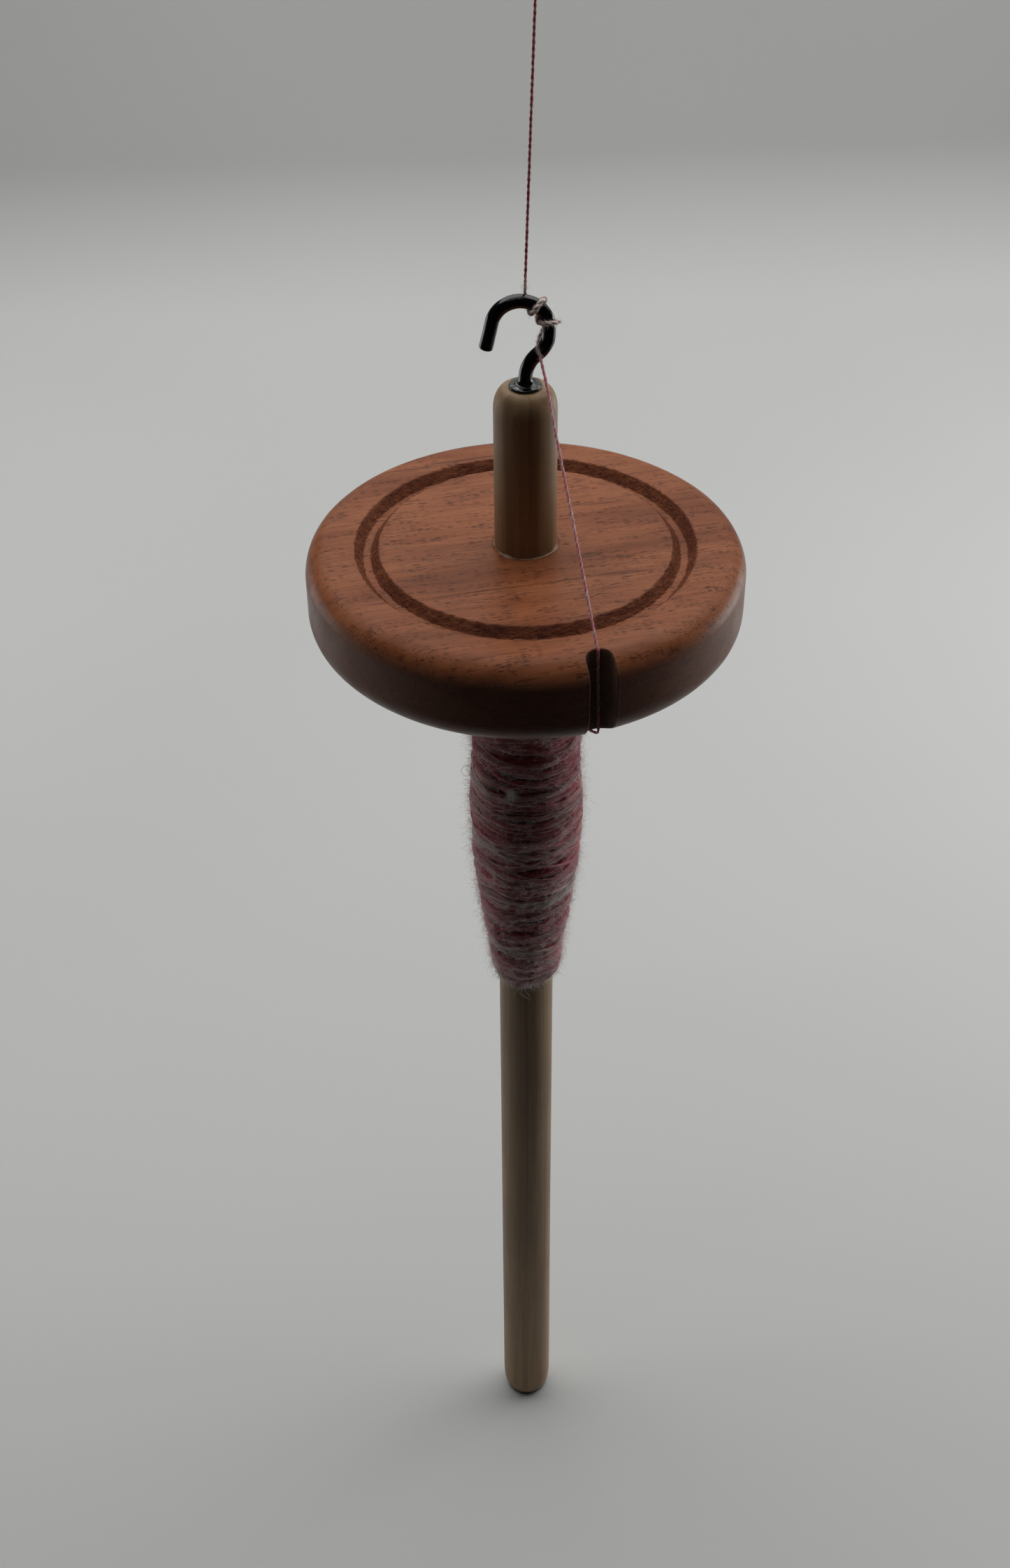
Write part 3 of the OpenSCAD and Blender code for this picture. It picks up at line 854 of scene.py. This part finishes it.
def hitch_line():
    """The yarn's turns round the hook: (turn round the wire, place along the loop), degrees."""
    climb = np.array([
        (95, -48), (150, -36), (190, -15), (240, 0), (330, 7), (360, 10), (450, 18), (540, 26),
        (630, 40), (720, 55), (810, 58), (900, 60), (980, 76)], float)
    turn = np.linspace(climb[0, 0], climb[-1, 0], 90)
    along = np.interp(turn, climb[:, 0], climb[:, 1])
    along = np.convolve(np.pad(along, 4, mode="edge"), np.ones(9) / 9, "valid")
    points = []
    for a, s in zip(np.radians(turn), np.radians(along)):
        out = np.array([math.cos(s) * math.cos(a), -math.sin(a), math.sin(s) * math.cos(a)])
        # the yarn stands off a little where it passes the loop's outside
        stand = WIRE_R_MM + YARN_D_MM / 2 + 0.03 + 0.35 * max(0, math.cos(a)) ** 3 * (a > 5)
        points.append(loop_point(s) + stand * out)
    rise = [[0, 1.6, 54.6], [0, 0.95, 55.7], [0, 0.25, 56.5], [0, 0, HITCH_TOP_MM + 0.35]]
    return np.array(points), np.array(rise, float)


# the leader's route, as in the CAD source: from the cop, up through the notch and to the hook
LEADER_MM = [
    (-9.0, 5.2, -25.6), (-11.0, 1.0, -25.0), (-11.0, -3.0, -24.6), (-9.3, -6.8, -24.2),
    (-1.8, -17.3, -22.8), (5.7, -27.9, -21.4), (11.2, -35.6, -20.4),
    (13.0, -37.8, -20.1), (13.6, -38.4, -19.7), (13.7, -38.5, -18.9), (13.6, -38.5, -14),
    (13.4, -38.45, -7), (13.3, -38.45, -0.9), (13.3, -38.4, -0.2), (13.1, -38.05, 0.4),
    (12.5, -36.0, 2.9), (10.7, -29.7, 10.5), (8.9, -23.4, 18.1), (7.1, -17.1, 25.7),
    (5.3, -10.8, 33.3), (3.9, -5.4, 39.2),
]


def build_hook_yarn():
    """The leader up to the hook, and its turns round the wire."""
    wraps, rise = hitch_line()
    plied_piece("leader", np.concatenate([LEADER_MM, wraps[:1]]), ["leader_yarn"],
                (0.46, 0.62), 200, 620, 0.8)

    # the yarn's twist has opened where it goes round the wire, so it is thick and fluffy
    def opened(share):
        return 1 + 0.8 * np.clip((share - 0.25) / 0.15, 0, 1) * np.clip((0.85 - share) / 0.1, 0, 1)

    plied_piece("hitch_wraps", np.concatenate([wraps[::3], rise]), ["hook_hitch"], (0.78, 0.9),
                220, 1700, 1.0, step=0.16, thick=opened)


def tied_loop_line():
    """The loop above the view that the yarn hangs from: round it, back through its knot, then
    three wraps of the knot and a short tail."""
    r = TIED_LOOP_R_MM
    centre_z = YARN_D_MM / 2 - r
    knot_z = centre_z - r
    way = np.radians(np.linspace(-82, 262, 40))
    ring = np.stack([r * 0.92 * np.cos(way), 0.12 * np.sin(2 * way),
                     centre_z + r * np.sin(way)], -1)
    coil = np.radians(np.linspace(150, 150 + 3.1 * 360, 40))
    wrap = np.stack([0.72 * np.cos(coil), 0.72 * np.sin(coil),
                     knot_z - 0.2 + np.linspace(0.1, -1.5, 40)], -1)
    return np.concatenate([
        [[0.1, 0, knot_z - 1.9], [0.25, 0.05, knot_z - 0.9]], ring, [[-0.28, 0.1, knot_z - 0.3]],
        wrap, [[0.9, -0.5, knot_z - 1.9], [1.7, -0.9, knot_z - 2.6], [2.3, -1.0, knot_z - 3.6]],
    ])


def build_spun_yarn():
    """The taut yarn, straight from the hitch up to the knot of the loop that holds it."""
    start = np.array([AXIS_X / MM, 0, HITCH_TOP_MM + 0.3 + TOP_Z / MM])
    knot = np.array([0, 0, YARN_D_MM / 2 - 2 * TIED_LOOP_R_MM - 0.9])
    line = start + (knot - start) * np.linspace(0, 1, 18)[:, None]
    spun, path = plied_piece("spun_line", line, ["spun_yarn"], (0.34, 0.6), 240, 160, 0.9,
                             "yarn_line")
    loop, _ = plied_piece("tied_loop", tied_loop_line(), ["yarn_loop"], (0.34, 0.6), 260, 160,
                          0.9, "yarn_line", step=0.18)


# ---------------------------------------------------------------- cop
# wound yarn's outline: depth below the whorl's top face and share of its largest radius
COP_OUTLINE = np.array([
    (19.5, 0.88), (26, 0.90), (34, 0.92), (42, 0.94), (50, 0.955), (58, 0.98), (66, 1),
    (74, 0.995), (80, 0.97), (87, 0.93), (95, 0.86), (101, 0.795), (106, 0.745), (109, 0.705),
    (114, 0.67), (117.5, 0.645), (119.5, 0.56)])
# depths at which near-white and deep red stretches of the yarn were wound on, and their reach
PALE_MM = ((25, 2), (46.7, 0.8), (58, 1.6), (75, 2.4), (89.5, 2.2), (105.5, 1.6), (117, 3.4))
RED_MM = ((33, 3), (51.5, 2.2), (67, 1.5), (82, 1.4), (99, 2.4), (110.5, 1.6))
# one deep red spot, by its depth and its angle about the shaft
RED_SPOT_MM, RED_SPOT_TURN = 101.5, math.radians(-137)
# painted shade and highlight: how much darker a strand is dyed (second row) that stands out so
# far from the cop (first row); deep strands are darkened as shade, the highest paled as highlight
DEPTH_SHADE_AND_HIGHLIGHT = ((-0.8, -0.2, 0.2), (0.3, 0.04, -0.08))


def cop_radius(z_mm):
    """The cop's radius at a height, with the outline's corners smoothed."""
    depth = -np.asarray(z_mm)
    smooth = sum(np.interp(depth + d, COP_OUTLINE[:, 0], COP_OUTLINE[:, 1])
                 for d in (-1.5, -0.75, 0, 0.75, 1.5)) / 5
    return COP_R_MM * smooth


def cop_dye(path, at, seed):
    """Dye along a wound strand: rose, with the pale and red stretches of the winding."""
    depth = -path[:, 2]
    angle = np.arctan2(path[:, 1], path[:, 0])
    side = np.stack([np.cos(angle), np.sin(angle), depth * 0.09], -1)
    dye = 0.43 + along_waves(at, (150, seed, 0.14), (34, seed + 1, 0.12))
    pale = np.clip(0.75 + 0.45 * waves(side, 3.0, 401), 0, 1.3)
    red = np.clip(0.55 + 0.6 * waves(side, 2.6, 402), 0, 1.3)
    for stretches, strength in ((PALE_MM, 0.34 * pale), (RED_MM, -0.2 * red)):
        for centre, reach in stretches:
            dye += strength * np.exp(-(((depth - centre) / reach) ** 2))
    away = 1 - np.cos(angle - RED_SPOT_TURN)
    dye -= 0.42 * np.exp(-(((depth - RED_SPOT_MM) / 1.5) ** 2) - (away / 0.1) ** 2)
    return np.clip(dye, 0.04, 0.96)


def winding(z0, z1, pitch, seed, lift, phase, tilt):
    """A helix down or up the cop; the spacing of its turns and their tilt vary along it.
    Returns its points and the direction outwards at each."""
    turns = abs(z1 - z0) / pitch
    count, steps = int(turns * 84), int(turns) + 4
    wind_rng = np.random.default_rng(seed)
    speed = 1 + 0.6 * np.interp(np.linspace(0, 1, count), np.linspace(0, 1, steps),
                                wind_rng.uniform(-1, 1, steps))
    way = np.concatenate([[0], np.cumsum(speed)[:-1]])
    z = z0 + (z1 - z0) * way / way[-1]
    angle = phase + 2 * math.pi * turns * np.linspace(0, 1, count)
    z = z + tilt * waves(angle[:, None], 24, seed + 3) * np.cos(angle)
    z = z + 0.5 * tilt * waves(angle[:, None], 17, seed + 4) * np.sin(angle)
    out = np.stack([np.cos(angle), np.sin(angle), 0 * angle], -1)
    z = z + 0.2 * waves(out + z[:, None] * [0, 0, 0.3], 1.6, seed + 1)
    place = out * 12 + z[:, None] * [0, 0, 1]
    bumps = 0.2 * waves(place, 8.0, 61) + 0.13 * waves(place, 2.6, seed + 2)
    z = np.clip(z, COP_END_MM + 0.5, COP_TOP_MM - 0.7)
    r = cop_radius(z) - 0.62 + lift + np.clip(bumps, -0.5, 0.45)
    r = np.maximum(r, SHAFT_R_MM + 0.3)
    return out * r[:, None] + z[:, None] * [0, 0, 1], out


def strand(path, out, seed, thick, darker):
    """One wound strand, thick in some places and with a slub here and there; also its dye."""
    at = distances(path)
    swell = 1 + along_waves(at, (26, seed, 0.14), (5, seed + 1, 0.12), (1.9, seed + 3, 0.09))
    slub = np.clip(waves(at[:, None], 90, seed + 2) - 0.8, 0, 1) * 0.6
    radii = YARN_D_MM / 2 * thick * np.clip(swell + slub, 0.5, 1.6)
    # painted shade and highlight: the dye is darkened by how deep the strand lies, paled where it
    # stands out
    dye = cop_dye(path, at, seed + 5) - darker
    return tube(path, radii, 8, side=out, dye=dye, at=at + seed * 13.0, flat=0.95), dye


def build_cop():
    """Solid underlayer, close windings, then strands that cross them; returns the strands."""
    z = np.linspace(COP_TOP_MM, COP_END_MM + 0.25, 70)
    r = cop_radius(z) - 1.3
    r[-1] = SHAFT_R_MM + 0.25
    r = np.maximum(r, SHAFT_R_MM + 0.12)
    outline = np.concatenate([np.stack([r, z], -1), [[SHAFT_R_MM, z[-1] - 0.1],
                                                     [SHAFT_R_MM, COP_TOP_MM]]])
    verts, quads = turned_ring(outline[::-1], 96)
    angle = np.arctan2(verts[:, 1], verts[:, 0])
    # painted shade: the underlayer has the deepest red dye, for the dark between the windings
    values = np.stack([angle * 0.012, verts[:, 2] * 0.7, 0 * angle], -1)
    wool_piece("cop_underlayer", [(verts, quads, values)], WOUND)

    low, high = COP_END_MM, COP_TOP_MM - 0.6
    # (turn spacing, how far it stands out, start angle, lowest point, thickness, tilt); the
    # first pass lies deep, in the dark between the others, and is dyed darker as painted shade
    close = [(1.5, -0.8, 0.3, low + 0.9, 1.8, 0.3), (1.7, -0.2, 2.1, low + 0.7, 1.45, 0.9)]
    crossing = [(9.5, 0.2, 0.9, low + 2.5, 1.3, 1.8), (13, 0.3, 2.6, low + 3.8, 1.2, 2.2),
                (8.5, 0.36, 4.2, low + 2.2, 1.1, 2.5), (17, 0.42, 0.2, low + 4.5, 1.0, 2.8),
                (6.5, 0.46, 1.7, low + 2.0, 0.6, 2.5), (5.0, 0.5, 3.4, low + 1.6, 0.5, 2.1),
                (7.5, 0.54, 5.4, low + 3.0, 0.4, 2.8), (5.5, 0.58, 4.6, low + 2.6, 0.34, 2.6)]
    strands = []
    for name, passes, seed, replaces in (("cop_windings", close, 70, ["yarn_cop"]),
                                         ("cop_crossings", crossing, 130, ())):
        parts = []
        for k, (pitch, lift, phase, bottom, thick, tilt) in enumerate(passes):
            ends = (high, bottom) if k % 2 == 0 else (bottom, high)
            path, out = winding(*ends, pitch, seed + 7 * k, lift, phase, tilt)
            part, dye = strand(path, out, seed + 200 + 11 * k, thick, np.interp(lift, *DEPTH_SHADE_AND_HIGHLIGHT))
            parts.append(part)
            strands.append((path, out, dye))
        wool_piece(name, parts, WOUND, replaces)
    return strands[1:]


def hair(strands, count, length, thick, lean, glow_lift, hair_rng, below=None, k=6):
    """Loose fibres that start anywhere on the strands, or only below a height, where they lean
    downwards."""
    path, out, along, dye = strands
    places = np.arange(len(path)) if below is None else np.flatnonzero(path[:, 2] < below)
    pick = places[hair_rng.integers(0, len(places), count)]
    way = along[pick]
    if below is not None:
        way = unit(way * 0.5 + np.array([0, 0, -1.0]))
    # painted glow: the fibres are dyed paler than their strand, for the light that shines through
    # them
    tint = np.clip(dye[pick] + glow_lift + 0.1 * hair_rng.normal(size=count), 0.1, 1)
    return fibres(path[pick] + out[pick] * 0.45, out[pick], way,
                  hair_rng.uniform(*length, count), hair_rng.uniform(*thick, count), lean,
                  hair_rng, tint, k)


def build_fuzz(strands):
    """Short fibres that lie on the cop, a haze of standing ones, and long stray ones."""
    hair_rng = np.random.default_rng(23)
    skin = (
        np.concatenate([p[1:-1] for p, _, _ in strands]),
        np.concatenate([o[1:-1] for _, o, _ in strands]),
        np.concatenate([unit(p[2:] - p[:-2]) for p, _, _ in strands]),
        np.concatenate([d[1:-1] for _, _, d in strands]),
    )
    # painted glow: each layer is dyed paler than the strands, the haze palest, for the backlight
    # through it
    layers = {
        "cop_fuzz": [hair(skin, 8000, (0.7, 2.6), (0.012, 0.022), 0.7, 0.2, hair_rng, k=4)],
        "cop_haze": [hair(skin, 9600, (0.6, 2.0), (0.014, 0.026), 3.2, 0.45, hair_rng, k=4)],
        "cop_far_haze": [hair(skin, 6200, (1.6, 4.4), (0.010, 0.018), 3.2, 0.5, hair_rng)],
        "cop_stray_fibres": [
            hair(skin, 1800, (2.5, 6.0), (0.012, 0.02), 2.2, 0.3, hair_rng),
            hair(skin, 900, (0.8, 3.0), (0.012, 0.02), 0.6, 0.3, hair_rng, COP_END_MM + 6),
        ],
    }
    for name, parts in layers.items():
        wool_piece(name, parts, FLUFF)


def cop_point(depth, turn, out=0.0):
    """A place on the cop and its outward direction; turn goes from the front towards -X."""
    angle = -math.pi / 2 - math.radians(turn)
    outward = np.array([math.cos(angle), math.sin(angle), 0.0])
    return outward * (cop_radius(-depth) + out) - [0, 0, depth], outward


def pinch(depth, turn, count, lengths, thick, dye, pinch_rng):
    """A small tuft of fibres that lie across the windings."""
    centre, outward = cop_point(depth, turn)
    starts = centre + pinch_rng.normal(size=(count, 3)) * [0.45, 0.45, 0.5]
    outs = unit(outward + 0.4 * pinch_rng.normal(size=(count, 3)))
    alongs = unit(pinch_rng.normal(size=(count, 3)) * [0.5, 0.5, 1.0])
    return fibres(starts, outs, alongs, pinch_rng.uniform(*lengths, count),
                  pinch_rng.uniform(*thick, count), 1.0, pinch_rng, np.full(count, dye))


def build_tufts():
    """One pale and one red tuft, a dark fleck, and a long fibre that stands off as a loop."""
    pinch_rng = np.random.default_rng(31)
    parts = [
        pinch(56.4, 15, 130, (1.0, 2.6), (0.020, 0.034), 0.98, pinch_rng),
        pinch(101.5, 50, 150, (0.8, 2.8), (0.022, 0.036), 0.16, pinch_rng),
        pinch(65.5, -88, 40, (0.4, 0.9), (0.020, 0.030), 0.06, pinch_rng),
    ]
    centre, outward = cop_point(59.3, 90, 0.9)
    turn = np.linspace(-2.6, 2.9, 40)
    loop = centre + 1.15 * (np.cos(turn)[:, None] * outward + np.sin(turn)[:, None] * [0, 0, 1.0])
    loop[:, 1] += 0.25 * turn
    parts.append(tube(loop, 0.045, 5, dye=0.6))
    wool_piece("cop_tufts", parts, FLUFF)


# ---------------------------------------------------------------- stage, light and camera
def build_stage():
    """A pale floor that curves up into a low backdrop well behind the object; it ends just in
    front of the object, so that little light comes back to the object's near side."""
    front_y, back_y, bend, wall_z, half = -0.13, 0.69, 0.09, 0.36, 2.2
    lean = math.radians(21)
    steps = np.linspace(-math.pi / 2, -lean, 17)
    curve = [(back_y + bend * math.cos(a), FLOOR_Z + bend + bend * math.sin(a)) for a in steps]
    top = (curve[-1][0] + math.tan(lean) * wall_z, FLOOR_Z + wall_z)
    line = [(front_y, FLOOR_Z), (back_y - 0.02, FLOOR_Z)] + curve + [top]
    verts = [(x, y, z) for y, z in line for x in (-half, half)]
    faces = [(2 * i, 2 * i + 1, 2 * i + 3, 2 * i + 2) for i in range(len(line) - 1)]
    mesh = bpy.data.meshes.new("sweep")
    mesh.from_pydata(verts, [], faces)
    mesh.shade_smooth()
    mesh.materials.append(plain_floor())
    sweep = add_object("sweep", mesh)
    sweep.rotation_euler.z = math.radians(3.5)


def area_light(name, place, target, size, power):
    """A white rectangular light at place that shines towards target."""
    data = bpy.data.lights.new(name, "AREA")
    data.shape = "RECTANGLE"
    data.size, data.size_y = size
    data.energy = power
    light = add_object(name, data)
    back = unit(np.subtract(place, target))
    right = unit(np.cross([0, 1, 0] if abs(back[2]) > 0.9 else [0, 0, 1], back))
    columns = np.stack([right, np.cross(back, right), back, place], -1)
    light.matrix_world = Matrix([*columns.tolist(), [0, 0, 0, 1]])


def build_lights():
    """A wide soft light above, a soft bank behind that lights the object from its far side, two
    small banks low at its sides that light the cop's edges, and a thin strip in front that
    draws the line of light along the hook."""
    floor_point, cop_middle = (0.3, 0.5, FLOOR_Z), (0, 0, -0.2)
    area_light("high_softbox", (0.2, 0.6, 1.0), floor_point, (2.8, 1.4), 23.5)
    area_light("rear_bank", (0.35, 1.0, 0.5), (0, 0, -0.1), (2.4, 0.8), 4.6)
    area_light("right_bank", (0.62, 0.3, -0.24), cop_middle, (0.4, 0.3), 1.5)
    area_light("left_bank", (-0.62, 0.3, -0.24), cop_middle, (0.4, 0.3), 0.6)
    area_light("front_strip", (-0.2, -0.4, 0.85), (0, 0, -0.08), (0.7, 0.02), 0.4)
    world = bpy.data.worlds.new("studio")
    world.use_nodes = True
    background = world.node_tree.nodes["Background"]
    background.inputs["Color"].default_value = (0.95, 0.98, 1, 1)
    background.inputs["Strength"].default_value = 0.008
    scene.world = world
    scene.view_settings.view_transform = "Standard"


def build_camera():
    """Perspective camera in front of the object, looking down at it."""
    data = bpy.data.cameras.new("camera")
    data.sensor_width = 36
    data.lens = 48.19
    data.clip_end = 20
    camera = add_object("camera", data)
    pitch, roll = math.radians(38.62), math.radians(-0.53)
    aim = Matrix.Rotation(math.pi / 2 - pitch, 4, "X") @ Matrix.Rotation(roll, 4, "Z")
    place = Matrix.Translation((AXIS_X - 0.00465, -0.3662, TOP_Z + 0.2294))
    camera.matrix_world = place @ aim
    scene.camera = camera


build_camera()
PLIED = wool("plied_wool", 0.55, 3.0, 0.00005, 0.3, 0.4)
WOUND = wool("wound_wool", 0.9, 3.6, 0.00028, 0.15, 0.35)
FLUFF = wool("wool_fluff", 1.0, 50.0, 0.00001, 0.8, 1.0)
PAINT = black_paint()
build_hook_yarn()
build_spun_yarn()
build_stage()
build_lights()
build_shaft()
build_whorl()
build_glue()
build_hook()
build_collar()
build_fuzz(build_cop())
build_tufts()
